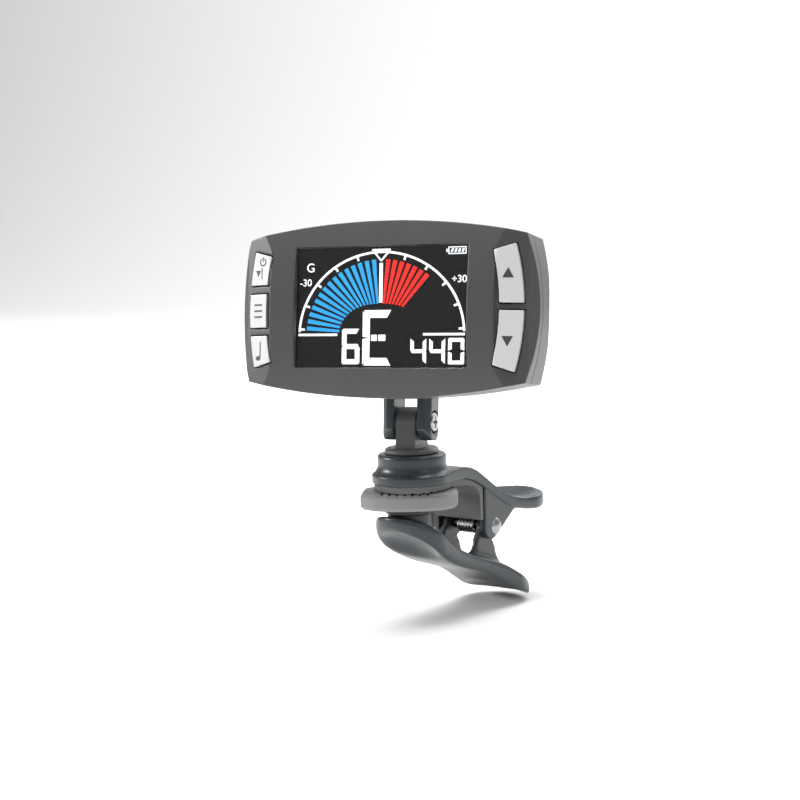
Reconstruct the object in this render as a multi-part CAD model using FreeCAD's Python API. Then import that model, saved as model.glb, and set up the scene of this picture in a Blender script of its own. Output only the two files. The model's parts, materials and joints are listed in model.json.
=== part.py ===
import FreeCAD, Part
import math
import os

# Clip-on tuner, millimetres. +Z runs up the swivel axis and the display looks along -Y. The origin is where
# the swivel axis meets the gripping face of the upper pad. The clip is drawn along its own axis u (handles
# at +u) and turned about Z. The display head is drawn upright about its tilt axis and then leaned back.

V = FreeCAD.Vector

# ---------------------------------------------------------------- driving dimensions
# resting pose
CLIP_TURN = 73.0          # clip axis, from +X towards +Y
HEAD_LEAN = 7.3           # head leaned back from upright
PAD_TURN = 18.0           # lower pad about the vertical, from the display's own direction

# clearances
RUN_GAP = 0.05            # radial running fit
SIDE_GAP = 0.10           # beside a hinge cheek or a washer
KEY_GAP = 0.20            # round a button in its opening
SLIP_GAP = 0.10           # between parts dropped into a pocket
PAD_GAP = 0.15            # between the two pads with the jaw closed

# clip
JAW_R = 9.7               # round end of the upper jaw
ARM_WAIST = 8.6           # half width over the throat
HANDLE_HALF = 9.8         # half width of the upper handle
UPPER_END = 49.0          # rear end of the upper handle
UPPER_WAIST_U = 20.0
UPPER_DISH_BACK = 9.0     # middle of the upper finger dish, from that end
LOWER_END = 41.4          # rear end of the lower handle
LOWER_WAIST_U = 15.0
JAW_PLATE_BOTTOM = 1.7    # under the jaw plate, which is the top of the pad
JAW_PLATE_TOP = 3.9
TURRET_R = 8.26
TURRET_TOP = 8.66
TURRET_ROUND = 0.9
TURRET_LEDGE = 0.3        # the jaw's round end stands out this far past the foot of the turret
TURRET_FLARE = 2.3        # height of the flare at that foot
LOWER_JAW_R = 9.2
LOWER_HANDLE_HALF = 10.0
DISH_R = 16.0             # sphere that hollows the finger dishes
DISH_DEPTH = 2.0

# hinge of the clip
PIN_U = 23.0
PIN_Z = -12.3
PIN_R = 1.3
RIVET_R = 2.1
RIVET_H = 0.8
CHEEK_OUT = 8.1           # outer face of the upper cheeks
CHEEK_T = 1.7
CHEEK_FOOT_U = 18.4       # front edge of the upper cheeks
CHEEK_R = 2.4             # their round ends under the pin
LOWER_CHEEK_T = 1.75
LOWER_CHEEK_R = 3.6

# torsion spring
WIRE_R = 0.45
LEG_R = 0.48              # the legs are a little fuller than the coil's wire
COIL_GAP = 0.25           # between the pin and the coil round it
COIL_R = PIN_R + COIL_GAP + WIRE_R
COIL_PITCH = 1.4
COIL_TURNS = 4            # whole turns, besides the part turn between the legs
UPPER_LEG_LEAN = 7.0      # from +u towards the upper handle
UPPER_LEG = 8.0
LOWER_LEG_LEAN = -47.0
LOWER_LEG = 13.5

# pads
PAD_NOSE_R = 9.2
LINER_T = 1.3
LINER_U = 17.7            # rear face of the throat liner
LINER_BOTTOM = -9.8
LINER_HALF = 8.0
RIDGE_PITCH = 1.8
RIDGE_DEPTH = 0.4
SLAB_WIDE = 23.0
SLAB_DEEP = 17.6
SLAB_T = 4.0
SLAB_CORNER = 3.0
SLAB_CROWN = 1.6          # how far the long edges bow out
SLAB_BEVEL = 0.8
SLAB_U = -1.3             # centre of the lower pad along the clip
HUB_R = 6.0
HUB_T = 1.2
STUD_R = 2.6
STUD_HEAD_R = 3.1
SEAT_H = 9.0              # the boss under the hub, most of it sunk in the arm
SEAT_INSET = 0.6          # the boss is this much smaller than the hub
STUD_HEAD_H = 0.6
SEAT_RIB_REACH = 8.5
SEAT_RIB_HALF = 0.9

# swivel
DISC_R = 6.5
DISC_TOP = 10.0
DISC_CHAMFER = 0.5
SPINDLE_R = 3.0
SEAT_Z = 3.4              # ceiling of the counterbore under the turret
COUNTERBORE_R = 5.6
WASHER_R = 5.2
WASHER_T = 0.8
SWIVEL_HEAD_H = 0.7

# tilt joint
TILT_Z = 16.05
POST_BASE_WIDE = 5.2
POST_BASE_DEEP = 9.2
POST_TOP_R = 3.6
EAR_IN = 2.9
EAR_OUT = 6.15
EAR_HALF_DEEP = 4.0
EAR_DROP = 4.4
EAR_TOE_DEEP = 2.2        # the cut corners of the ears' lower ends
EAR_TOE_HIGH = 2.4
EAR_KNEE = 7.0            # above this the ears narrow towards the head
EAR_TOP = 24.0
EAR_CHAMFER = 1.45
FRICTION_T = 0.5
TILT_SCREW_R = 1.2
TILT_HEAD_R = 2.3
TILT_HEAD_H = 1.4
RECESS_R = 2.7
RECESS_DEPTH = 1.3
NUT_FLATS = 4.0
NUT_T = 1.2

# head
HEAD_MID = 25.4           # middle of the head above the tilt axis
HEAD_HALF_W = 33.8        # at the corners
HEAD_HALF_H = 16.6        # at the corners
SIDE_BOW = 2.6
END_BOW = 3.6
PARTING_Y = -14.5
FRONT_Y = -22.0           # crest of the raised front
CROWN_R = 90.0
PLATEAU_HALF = 26.6
WING_IN_Y = -20.9
WING_OUT_X = 34.4
WING_OUT_Y = -18.5
REAR_Y = -5.5
REAR_SLOPE = 4.6          # how far in the rear edges fall, at the sides and at the top and bottom
REAR_STRAIGHT = 3.0       # straight stretch of the sides behind the parting plane
REAR_SPARE = 0.5          # the rear profile is cut this much past the outline's crests
WALL = 1.8

# display
WINDOW_Z = 25.9           # middle of the window above the tilt axis
WINDOW_W = 42.0
WINDOW_H = 27.8
LENS_Y = -20.5
LENS_T = 1.1
LEDGE = 1.0
LEDGE_T = 0.9
LCD_W = WINDOW_W + 1.4    # the panel is larger than the window on every side
LCD_H = WINDOW_H + 0.8
LCD_ROOM = 0.3
LCD_T = 1.6
BOARD_FRONT_Y = -13.0
BOARD_T = 1.2
BOARD_HALF_W = HEAD_HALF_W - WALL + 0.6    # its ends reach into the bow of the sides
BOARD_HALF_H = HEAD_HALF_H - WALL - 2.7

# inside the rear cover
CELL_W = 34.0
CELL_H = 11.8
CELL_T = 3.4
CELL_GAP = 0.3            # above the cell, to where the cover's inner face turns in
CELL_TOP = HEAD_MID + HEAD_HALF_H + END_BOW + REAR_SPARE - WALL - REAR_SLOPE - CELL_GAP
CELL_LOW = CELL_TOP - CELL_H
CELL_ROUND = 1.2
LEAD_R = 0.45
LEAD_X = (-12.0, -10.0)
LEAD_DROP = 2.2
PIEZO_R = 5.4
PIEZO_PLATE_T = 0.3
PIEZO_CERAMIC_T = 0.25
PIEZO_X = 12.5
PIEZO_Z = 18.4
BOARD_POST_X = 20.0
BOARD_POST_Z = 8.0
BOARD_POST_R = 1.3
# each chip on the back of the board: lowest and highest x, thickness, lowest and highest z from mid height
CHIPS = (
    (-27.0, -21.8, 0.9, -4.5, 3.5),
    (22.2, 27.2, 1.1, -1.0, 4.0),
    (23.0, 26.5, 0.8, -8.0, -4.0),
    (8.0, 11.0, 1.0, -11.0, -8.5),
)

# charging socket
USB_SET_BACK = 1.5        # mouth of the shell, inside the head's side
USB_MOUTH_X = HEAD_HALF_W + SIDE_BOW - USB_SET_BACK
USB_DEEP = 5.7
USB_T = 2.7
USB_HALF = 3.8
USB_SHELL_T = 0.4
USB_BACK_T = 0.5
USB_TONGUE_SHORT = 0.9    # the tongue stops short of the mouth
USB_TONGUE_T = 0.6
USB_TONGUE_HALF = 2.4

# buttons
KEY_IN = 28.3             # inner edge at mid height
KEY_OUT = 33.5            # outer edge at mid height
KEY_BOW = 1.5             # how far those edges lean in by the top and bottom
KEY_PROUD = 0.8
KEY_LIP = 0.6
KEY_LIP_T = 0.8
KEY_TRAVEL = 0.5
KEY_CEILING_Y = -17.3     # inner face of the bezel behind the buttons
STEM_R = 1.3
SWITCH_W = 3.4
SWITCH_BODY = 1.8
PLUNGER_R = 1.0
PLUNGER_H = 0.5

# fasteners
CASE_BOSS_X = 24.6
CASE_BOSS_Z = 14.6
CASE_BOSS_R = 2.2
CASE_SCREW_R = 0.85
CASE_HEAD_R = 1.75
CASE_HEAD_H = 1.2
CASE_SEAT_Y = -9.5
YOKE_SCREW_X = 4.5
YOKE_SCREW_Z = (13.3, 23.5)
YOKE_SCREW_BITE = 2.2     # depth that the yoke screws reach into the yoke's plate
YOKE_PLATE_T = 2.6
YOKE_PLATE_Z = (9.0, 27.0)
YOKE_PLATE_ROUND = 1.5
YOKE_PLATE_RIM = 0.6      # the plate stands out past the ears

# drawing
CORNER = 1 - math.sqrt(0.5)    # a quarter round's middle, as a share of its radius in from the corner
BITE = 0.1                     # how far joined solids run into each other
PAST = 9.0                     # how far a cutting tool runs past the body


# ---------------------------------------------------------------- helpers
def block(x0, x1, y0, y1, z0, z1):
    return Part.makeBox(x1 - x0, y1 - y0, z1 - z0, V(x0, y0, z0))


def rod(radius, start, end):
    run = V(*end).sub(V(*start))
    return Part.makeCylinder(radius, run.Length, V(*start), run)


def line(a, b):
    return Part.makeLine(V(*a), V(*b))


def arc(a, b, c):
    return Part.Arc(V(*a), V(*b), V(*c)).toShape()


def spline(points):
    curve = Part.BSplineCurve()
    curve.interpolate([V(*p) for p in points])
    return curve.toShape()


def prism(edges, run):
    return Part.Face(Part.Wire(edges)).extrude(V(*run))


def polygon(points, run):
    closed = [V(*p) for p in points] + [V(*points[0])]
    return Part.Face(Part.makePolygon(closed)).extrude(V(*run))


def union(first, *rest):
    return first.fuse(list(rest)).removeSplitter()


def mirrored_x(shape):
    return shape.mirror(V(0, 0, 0), V(1, 0, 0))


def mirrored_v(shape):
    return shape.mirror(V(0, 0, 0), V(0, 1, 0))


def screw(head_r, head_h, shank_r, length):
    """A pan-head screw pointing down -Z, its head standing on z = 0, with a cross recess."""
    head = Part.makeCylinder(head_r, head_h, V(0, 0, 0))
    head = head.makeFillet(head_h * 0.35, [head.Edges[0]])
    shank = Part.makeCylinder(shank_r, length, V(0, 0, -length))
    slot = head_r * 0.6
    bar = head_r * 0.13
    deep = head_h * 0.55
    cross = union(
        block(-slot, slot, -bar, bar, head_h - deep, head_h),
        block(-bar, bar, -slot, slot, head_h - deep, head_h),
    )
    return union(head, shank).cut(cross)


def place_screw(shape, at, point_down):
    """Turn a screw so that it points along point_down, with the underside of its head at the place given."""
    turn = FreeCAD.Rotation(V(0, 0, -1), V(*point_down))
    placed = shape.copy()
    placed.Placement = FreeCAD.Placement(V(*at), turn)
    return placed


def clip_to_frame(shape):
    turned = shape.copy()
    turned.rotate(V(0, 0, 0), V(0, 0, 1), CLIP_TURN)
    return turned


def head_to_frame(shape):
    leaned = shape.copy()
    leaned.rotate(V(0, 0, 0), V(1, 0, 0), -HEAD_LEAN)
    leaned.translate(V(0, 0, TILT_Z))
    return leaned


# ---------------------------------------------------------------- clip
def plan_outline(nose_r, waist, handle, end, waist_u, z0, z1):
    """The arm seen from above: round nose, gentle waist, round handle end."""
    heel = end - handle
    edges = [
        arc((0, -nose_r, z0), (-nose_r, 0, z0), (0, nose_r, z0)),
        arc((0, nose_r, z0), (waist_u, waist, z0), (heel, handle, z0)),
        arc((heel, handle, z0), (end, 0, z0), (heel, -handle, z0)),
        arc((heel, -handle, z0), (waist_u, -waist, z0), (0, -nose_r, z0)),
    ]
    return prism(edges, (0, 0, z1 - z0))


def upper_top_line():
    near = [(0, JAW_PLATE_TOP), (8, 4.5), (12, 4.0), (17, 1.6), (22, -1.7)]
    return near + [(27, -4.6), (33, -6.3), (41, -6.7), (UPPER_END, -6.2)]


def upper_under_line():
    near = [(9.0, JAW_PLATE_BOTTOM), (13.7, 0.4), (17.7, -1.6), (22, -4.2)]
    return near + [(27.3, -7.3), (33, -9.4), (41, -10.6), (UPPER_END, -9.6)]


def lower_top_line():
    near = [(-LOWER_JAW_R, -5.4), (-5, -6.9), (0, -9.9), (5, -13.6), (10, -16.3)]
    return near + [(20, -20.0), (26, -22.4), (33, -26.4), (LOWER_END, -30.6)]


def lower_under_line():
    near = [(-LOWER_JAW_R, -8.0), (-5, -11.8), (0, -15.6), (5, -18.4), (10, -20.5)]
    return near + [(20, -24.0), (26, -27.2), (33, -31.2), (LOWER_END, -34.0)]


def at_side(points, v):
    return [(u, v, z) for u, z in points]


def dish(u, z, normal_u, normal_z):
    """A shallow spherical hollow whose rim lies about the surface point given."""
    size = math.hypot(normal_u, normal_z)
    lift = DISH_R - DISH_DEPTH
    centre = V(u + normal_u / size * lift, 0, z + normal_z / size * lift)
    return Part.makeSphere(DISH_R, centre)


def turret():
    shoulder = TURRET_TOP - TURRET_ROUND
    flare_r = JAW_R - TURRET_LEDGE
    flare_top = JAW_PLATE_TOP + TURRET_FLARE
    round_mid = TURRET_ROUND * CORNER
    z0 = JAW_PLATE_TOP
    edges = [
        line((0, 0, z0 - 1), (flare_r, 0, z0 - 1)),
        line((flare_r, 0, z0 - 1), (flare_r, 0, z0)),
        arc((flare_r, 0, z0), (TURRET_R + 0.35, 0, z0 + 0.9), (TURRET_R, 0, flare_top)),
        line((TURRET_R, 0, flare_top), (TURRET_R, 0, shoulder)),
        arc(
            (TURRET_R, 0, shoulder),
            (TURRET_R - round_mid, 0, TURRET_TOP - round_mid),
            (TURRET_R - TURRET_ROUND, 0, TURRET_TOP),
        ),
        line((TURRET_R - TURRET_ROUND, 0, TURRET_TOP), (0, 0, TURRET_TOP)),
        line((0, 0, TURRET_TOP), (0, 0, z0 - 1)),
    ]
    return Part.Face(Part.Wire(edges)).revolve(V(0, 0, 0), V(0, 0, 1), 360)


def upper_cheek():
    """One side plate, on the +v side, that carries the hinge pin."""
    v = CHEEK_OUT - CHEEK_T
    foot_u = CHEEK_FOOT_U
    low = PIN_Z - CHEEK_R
    heel = (34.0, -8.6)
    edges = [
        line((foot_u, v, -0.9), (foot_u, v, PIN_Z)),
        arc((foot_u, v, PIN_Z), (PIN_U - CHEEK_R, v, low - 0.5), (PIN_U, v, low)),
        spline(at_side([(PIN_U, low), (26.4, -12.5), (29.6, -10.4), heel], v)),
        line((heel[0], v, heel[1]), (27.0, v, -6.0)),
        line((27.0, v, -6.0), (foot_u, v, -0.9)),
    ]
    return prism(edges, (0, CHEEK_T, 0))


def upper_strap():
    """The upper arm's side profile, wider than the arm."""
    half = JAW_R + 1
    nose = -JAW_R - 1
    top = upper_top_line()
    under = upper_under_line()
    edges = [
        line((nose, -half, top[0][1]), (top[0][0], -half, top[0][1])),
        spline(at_side(top, -half)),
        line((top[-1][0], -half, top[-1][1]), (under[-1][0], -half, under[-1][1])),
        spline(at_side(under, -half)),
        line((under[0][0], -half, under[0][1]), (nose, -half, under[0][1])),
        line((nose, -half, under[0][1]), (nose, -half, top[0][1])),
    ]
    return prism(edges, (0, 2 * half, 0))


def over_under_line(top_z):
    """Everything above the underside of the upper arm, from the back of the jaw plate to the handle's end."""
    half = JAW_R + 1
    under = upper_under_line()
    edges = [
        spline(at_side(under, -half)),
        line((under[-1][0], -half, under[-1][1]), (under[-1][0], -half, top_z)),
        line((under[-1][0], -half, top_z), (under[0][0], -half, top_z)),
        line((under[0][0], -half, top_z), (under[0][0], -half, under[0][1])),
    ]
    return prism(edges, (0, 2 * half, 0))


def upper_arm():
    half = JAW_R + 1
    plan = plan_outline(JAW_R, ARM_WAIST, HANDLE_HALF, UPPER_END, UPPER_WAIST_U, -20, 20)
    body = upper_strap().common(plan)
    body = body.cut(dish(UPPER_END - UPPER_DISH_BACK, upper_top_line()[-2][1], 0.0, 1.0))
    cheek = upper_cheek()
    body = union(body, turret(), cheek, mirrored_v(cheek))
    body = body.cut(rod(SPINDLE_R + RUN_GAP, (0, 0, 0), (0, 0, TURRET_TOP + 1)))
    body = body.cut(rod(COUNTERBORE_R, (0, 0, 0), (0, 0, SEAT_Z)))
    return body.cut(rod(PIN_R, (PIN_U, -half, PIN_Z), (PIN_U, half, PIN_Z)))


def ridge_cuts(u0, u1, z, half, into):
    """V grooves across a pad, cut from height z by RIDGE_DEPTH in the direction into (+1 up, -1 down)."""
    cuts = []
    count = int((u1 - u0) / RIDGE_PITCH)
    for i in range(count):
        u = u0 + (i + 0.5) * RIDGE_PITCH
        tip = z + into * RIDGE_DEPTH
        mouth = z - into * 0.1
        points = [(u - 0.5, -half, mouth), (u + 0.5, -half, mouth), (u, -half, tip)]
        cuts.append(polygon(points, (0, 2 * half, 0)))
    return cuts


def upper_pad():
    """Ridged rubber pad that runs on as the liner of the throat."""
    half = JAW_R + 1
    nose = -JAW_R - 1
    inner_u = LINER_U - LINER_T
    bend = 1.5 * LINER_T
    edges = [
        line((nose, -half, JAW_PLATE_BOTTOM), (LINER_U, -half, JAW_PLATE_BOTTOM)),
        line((LINER_U, -half, JAW_PLATE_BOTTOM), (LINER_U, -half, LINER_BOTTOM)),
        line((LINER_U, -half, LINER_BOTTOM), (inner_u, -half, LINER_BOTTOM)),
        line((inner_u, -half, LINER_BOTTOM), (inner_u, -half, -1.6 - bend)),
        arc((inner_u, -half, -1.6 - bend), (inner_u - 0.8, -half, -2.1), (12.8, -half, -0.7)),
        line((12.8, -half, -0.7), (10.4, -half, 0.0)),
        line((10.4, -half, 0.0), (nose, -half, 0.0)),
        line((nose, -half, 0.0), (nose, -half, JAW_PLATE_BOTTOM)),
    ]
    strap = prism(edges, (0, 2 * half, 0))
    plan = union(
        Part.makeCylinder(PAD_NOSE_R, 30, V(0, 0, -15)),
        block(0, LINER_U, -LINER_HALF, LINER_HALF, -15, 15),
    )
    body = strap.common(plan).cut(over_under_line(PAST))
    for cut in ridge_cuts(-8.0, 10.0, 0.0, half, 1):
        body = body.cut(cut)
    return body


def lower_cheek():
    v = CHEEK_OUT - CHEEK_T - SIDE_GAP - LOWER_CHEEK_T
    round_end = Part.makeCylinder(LOWER_CHEEK_R, LOWER_CHEEK_T, V(PIN_U, v, PIN_Z), V(0, 1, 0))
    web = polygon(
        [
            (PIN_U - LOWER_CHEEK_R, v, PIN_Z),
            (PIN_U + 0.6, v, PIN_Z - 3.4),
            (28.0, v, -23.4),
            (14.6, v, -19.4),
        ],
        (0, LOWER_CHEEK_T, 0),
    )
    nose = polygon(
        [
            (PIN_U - LOWER_CHEEK_R, v, PIN_Z),
            (PIN_U, v, PIN_Z),
            (PIN_U + 0.6, v, PIN_Z - 3.4),
        ],
        (0, LOWER_CHEEK_T, 0),
    )
    return union(round_end, web, nose)


def pad_seat():
    """The boss on the lower arm that the turning pad stands on, with its stud and a stiffening rib."""
    seat_z = -PAD_GAP - SLAB_T - HUB_T - RUN_GAP
    floor_z = seat_z - SEAT_H
    stud_top = seat_z + HUB_T + 2 * RUN_GAP
    base = Part.makeCylinder(HUB_R - SEAT_INSET, SEAT_H, V(SLAB_U, 0, floor_z))
    rib = block(SLAB_U, SLAB_U + SEAT_RIB_REACH, -SEAT_RIB_HALF, SEAT_RIB_HALF, floor_z, seat_z)
    stud = Part.makeCylinder(STUD_R, stud_top + BITE - (seat_z - BITE), V(SLAB_U, 0, seat_z - BITE))
    head = Part.makeCone(STUD_HEAD_R, STUD_R, STUD_HEAD_H, V(SLAB_U, 0, stud_top))
    return union(base, rib, stud, head)


def lower_arm():
    half = LOWER_HANDLE_HALF + 1
    top = lower_top_line()
    under = lower_under_line()
    edges = [
        spline(at_side(top, -half)),
        line((top[-1][0], -half, top[-1][1]), (under[-1][0], -half, under[-1][1])),
        spline(at_side(under, -half)),
        line((under[0][0], -half, under[0][1]), (top[0][0], -half, top[0][1])),
    ]
    strap = prism(edges, (0, 2 * half, 0))
    plan = plan_outline(LOWER_JAW_R, ARM_WAIST, LOWER_HANDLE_HALF, LOWER_END, LOWER_WAIST_U, -50, 10)
    under_side = prism(
        [
            spline(at_side(under, -half)),
            line((under[-1][0], -half, under[-1][1]), (under[-1][0], -half, -60)),
            line((under[-1][0], -half, -60), (under[0][0], -half, -60)),
            line((under[0][0], -half, -60), (under[0][0], -half, under[0][1])),
        ],
        (0, 2 * half, 0),
    )
    body = union(strap.common(plan), pad_seat().cut(under_side))
    body = body.cut(dish(-1.0, -14.9, -0.66, -0.75))
    body = body.cut(dish(34.5, -31.0, -0.38, -0.92))
    cheek = lower_cheek()
    body = union(body, cheek, mirrored_v(cheek))
    bore = rod(PIN_R + RUN_GAP, (PIN_U, -half, PIN_Z), (PIN_U, half, PIN_Z))
    return body.cut(bore)


def slab_outline(z, inset):
    """The lower pad seen from above: bowed long edges and cut corners."""
    x = SLAB_WIDE / 2 - inset
    y = SLAB_DEEP / 2 - SLAB_CROWN - inset
    bow = SLAB_DEEP / 2 - inset
    c = SLAB_CORNER - inset * 0.41
    edges = [
        arc((-x + c, -y, z), (0, -bow, z), (x - c, -y, z)),
        line((x - c, -y, z), (x, -y + c, z)),
        line((x, -y + c, z), (x, y - c, z)),
        line((x, y - c, z), (x - c, y, z)),
        arc((x - c, y, z), (0, bow, z), (-x + c, y, z)),
        line((-x + c, y, z), (-x, y - c, z)),
        line((-x, y - c, z), (-x, -y + c, z)),
        line((-x, -y + c, z), (-x + c, -y, z)),
    ]
    return Part.Wire(edges)


def lower_pad():
    top = -PAD_GAP
    bottom = top - SLAB_T
    levels = [
        slab_outline(bottom, SLAB_BEVEL),
        slab_outline(bottom + SLAB_BEVEL, 0.0),
        slab_outline(top - SLAB_BEVEL, 0.0),
        slab_outline(top, SLAB_BEVEL),
    ]
    body = Part.makeLoft(levels, True, True)
    for cut in ridge_cuts(-7.0, 7.0, top, SLAB_WIDE, -1):
        body = body.cut(cut)
    pocket = Part.makeCylinder(STUD_HEAD_R + 0.4, 1.6, V(0, 0, bottom))
    body = body.cut(pocket)
    body.rotate(V(0, 0, 0), V(0, 0, 1), PAD_TURN)
    return body.translated(pad_centre())


def pad_centre():
    turn = math.radians(CLIP_TURN)
    return V(SLAB_U * math.cos(turn), SLAB_U * math.sin(turn), 0)


def pad_hub():
    """The rigid hub bonded under the lower pad, which turns on the stud of the lower arm."""
    bottom = -PAD_GAP - SLAB_T - HUB_T
    hub = Part.makeCylinder(HUB_R, HUB_T, V(0, 0, bottom))
    hub = hub.cut(Part.makeCylinder(STUD_R + RUN_GAP, HUB_T, V(0, 0, bottom)))
    return hub.translated(pad_centre())


def hinge_pin():
    shank = rod(PIN_R, (PIN_U, -CHEEK_OUT, PIN_Z), (PIN_U, CHEEK_OUT, PIN_Z))
    cap_r = (RIVET_R**2 + RIVET_H**2) / (2 * RIVET_H)
    ball = Part.makeSphere(cap_r, V(PIN_U, CHEEK_OUT + RIVET_H - cap_r, PIN_Z))
    beyond = block(PIN_U - PAST, PIN_U + PAST, CHEEK_OUT, CHEEK_OUT + PAST, PIN_Z - PAST, PIN_Z + PAST)
    cap = ball.common(beyond)
    return union(shank, cap, mirrored_v(cap))


def torsion_spring():
    """Close-wound coil round the hinge pin, its two legs leaving at a tangent under the two handles."""
    start_turn = LOWER_LEG_LEAN - 90.0
    part_turn = (UPPER_LEG_LEAN + 90.0 - start_turn) / 360.0
    length = COIL_PITCH * (COIL_TURNS + part_turn)
    helix = Part.makeHelix(COIL_PITCH, length, COIL_R)
    ring = Part.Wire(Part.makeCircle(WIRE_R, V(COIL_R, 0, 0), V(0, 1, 0)))
    coil = Part.Wire(helix.Edges).makePipeShell([ring], True, True)
    coil.rotate(V(0, 0, 0), V(0, 0, 1), start_turn)
    coil.rotate(V(0, 0, 0), V(1, 0, 0), 90)
    coil.translate(V(0, length / 2, 0))
    lower = spring_leg(LOWER_LEG_LEAN, -1, length / 2, LOWER_LEG)
    upper = spring_leg(UPPER_LEG_LEAN, 1, -length / 2, UPPER_LEG)
    spring = mirrored_v(coil.fuse([lower, upper]))
    return spring.translated(V(PIN_U, 0, PIN_Z))


def spring_leg(lean, above, v, length):
    """A straight leg that touches the coil above or below the pin and heads for +u."""
    turn = math.radians(lean)
    way = V(math.cos(turn), 0, math.sin(turn))
    start = V(-above * COIL_R * math.sin(turn), v, above * COIL_R * math.cos(turn))
    return Part.makeCylinder(LEG_R, length, start, way)


# ---------------------------------------------------------------- swivel
def swivel_post():
    disc = Part.makeCylinder(DISC_R, DISC_TOP - TURRET_TOP - RUN_GAP, V(0, 0, TURRET_TOP + RUN_GAP))
    rim = [e for e in disc.Edges if abs(e.BoundBox.ZMin - DISC_TOP) < 1e-6 and e.BoundBox.XLength > DISC_R]
    disc = disc.makeChamfer(DISC_CHAMFER, rim)
    x = POST_BASE_WIDE / 2
    y = POST_BASE_DEEP / 2
    top_x = EAR_IN - FRICTION_T
    knee = TILT_Z - POST_TOP_R
    half_section = [(x, DISC_TOP - 0.2), (top_x, knee), (top_x, TILT_Z)]
    left = [(-a, b) for a, b in reversed(half_section)]
    sides = polygon([(a, -y, b) for a, b in half_section + left], (0, 2 * y, 0))
    front = polygon(
        [
            (-x, -y, DISC_TOP - 0.2),
            (-x, y, DISC_TOP - 0.2),
            (-x, POST_TOP_R, TILT_Z),
            (-x, -POST_TOP_R, TILT_Z),
        ],
        (2 * x, 0, 0),
    )
    neck = sides.common(front)
    knuckle = rod(POST_TOP_R, (-top_x, 0, TILT_Z), (top_x, 0, TILT_Z))
    spindle_foot = SEAT_Z - RUN_GAP
    spindle = Part.makeCylinder(SPINDLE_R, DISC_TOP - spindle_foot, V(0, 0, spindle_foot))
    body = union(disc, neck, knuckle, spindle)
    body = body.cut(rod(TILT_SCREW_R + RUN_GAP, (-PAST, 0, TILT_Z), (PAST, 0, TILT_Z)))
    return body.cut(Part.makeCylinder(CASE_SCREW_R, 4.5, V(0, 0, spindle_foot)))


def swivel_washer():
    top = SEAT_Z - RUN_GAP
    ring = Part.makeCylinder(WASHER_R, WASHER_T, V(0, 0, top - WASHER_T))
    return ring.cut(Part.makeCylinder(CASE_SCREW_R, WASHER_T, V(0, 0, top - WASHER_T)))


def swivel_screw():
    seat = SEAT_Z - RUN_GAP - WASHER_T
    return place_screw(screw(2.2, SWIVEL_HEAD_H, CASE_SCREW_R, 4.6), (0, 0, seat), (0, 0, 1))


# ---------------------------------------------------------------- tilt joint, about the tilt axis
def yoke_ear():
    """One ear, on the +x side, from the pivot up to the plate on the back of the head."""
    y = EAR_HALF_DEEP
    side = polygon(
        [
            (EAR_IN, -y, -EAR_DROP + EAR_TOE_HIGH),
            (EAR_IN, -y + EAR_TOE_DEEP, -EAR_DROP),
            (EAR_IN, y - EAR_TOE_DEEP, -EAR_DROP),
            (EAR_IN, y, -EAR_DROP + EAR_TOE_HIGH),
            (EAR_IN, y, EAR_KNEE),
            (EAR_IN, REAR_Y + YOKE_PLATE_T + 0.4, EAR_TOP),
            (EAR_IN, REAR_Y + 0.5, EAR_TOP),
            (EAR_IN, REAR_Y + 0.5, YOKE_PLATE_Z[0]),
            (EAR_IN, -y, YOKE_PLATE_Z[0] - 1.0),
        ],
        (EAR_OUT - EAR_IN, 0, 0),
    )
    c = EAR_CHAMFER
    plan = polygon(
        [
            (0, -y - PAST, -PAST),
            (EAR_OUT - c, -y - PAST, -PAST),
            (EAR_OUT - c, -y, -PAST),
            (EAR_OUT, -y + c, -PAST),
            (EAR_OUT, y - c, -PAST),
            (EAR_OUT - c, y, -PAST),
            (0, y, -PAST),
        ],
        (0, 0, EAR_TOP + 2 * PAST),
    )
    return side.common(plan)


def tilt_yoke():
    z0, z1 = YOKE_PLATE_Z
    x = EAR_OUT + YOKE_PLATE_RIM
    plate = block(-x, x, REAR_Y, REAR_Y + YOKE_PLATE_T, z0, z1)
    upright = [e for e in plate.Edges if e.BoundBox.YLength > 1]
    plate = plate.makeFillet(YOKE_PLATE_ROUND, upright)
    ear = yoke_ear()
    body = union(plate, ear, mirrored_x(ear))
    body = body.cut(rod(TILT_SCREW_R + RUN_GAP, (-PAST, 0, 0), (PAST, 0, 0)))
    body = body.cut(rod(RECESS_R, (EAR_OUT - RECESS_DEPTH, 0, 0), (PAST, 0, 0)))
    pocket = hex_bar(NUT_FLATS + 2 * SLIP_GAP, -PAST, -EAR_OUT + RECESS_DEPTH)
    body = body.cut(pocket)
    for x in (-YOKE_SCREW_X, YOKE_SCREW_X):
        for z in YOKE_SCREW_Z:
            body = body.cut(rod(CASE_SCREW_R, (x, REAR_Y, z), (x, REAR_Y + YOKE_SCREW_BITE + SLIP_GAP, z)))
    return body


def hex_bar(flats, x0, x1):
    corner = flats / math.sqrt(3)
    points = []
    for i in range(6):
        turn = math.radians(60 * i + 30)
        points.append((x0, corner * math.cos(turn), corner * math.sin(turn)))
    return polygon(points, (x1 - x0, 0, 0))


def tilt_screw():
    length = 2 * EAR_OUT - 2 * RECESS_DEPTH + NUT_T
    seat = EAR_OUT - RECESS_DEPTH
    return place_screw(screw(TILT_HEAD_R, TILT_HEAD_H, TILT_SCREW_R, length), (seat, 0, 0), (-1, 0, 0))


def tilt_nut():
    seat = -EAR_OUT + RECESS_DEPTH
    nut = hex_bar(NUT_FLATS, seat - NUT_T, seat)
    return nut.cut(rod(TILT_SCREW_R, (-PAST, 0, 0), (PAST, 0, 0)))


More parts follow.
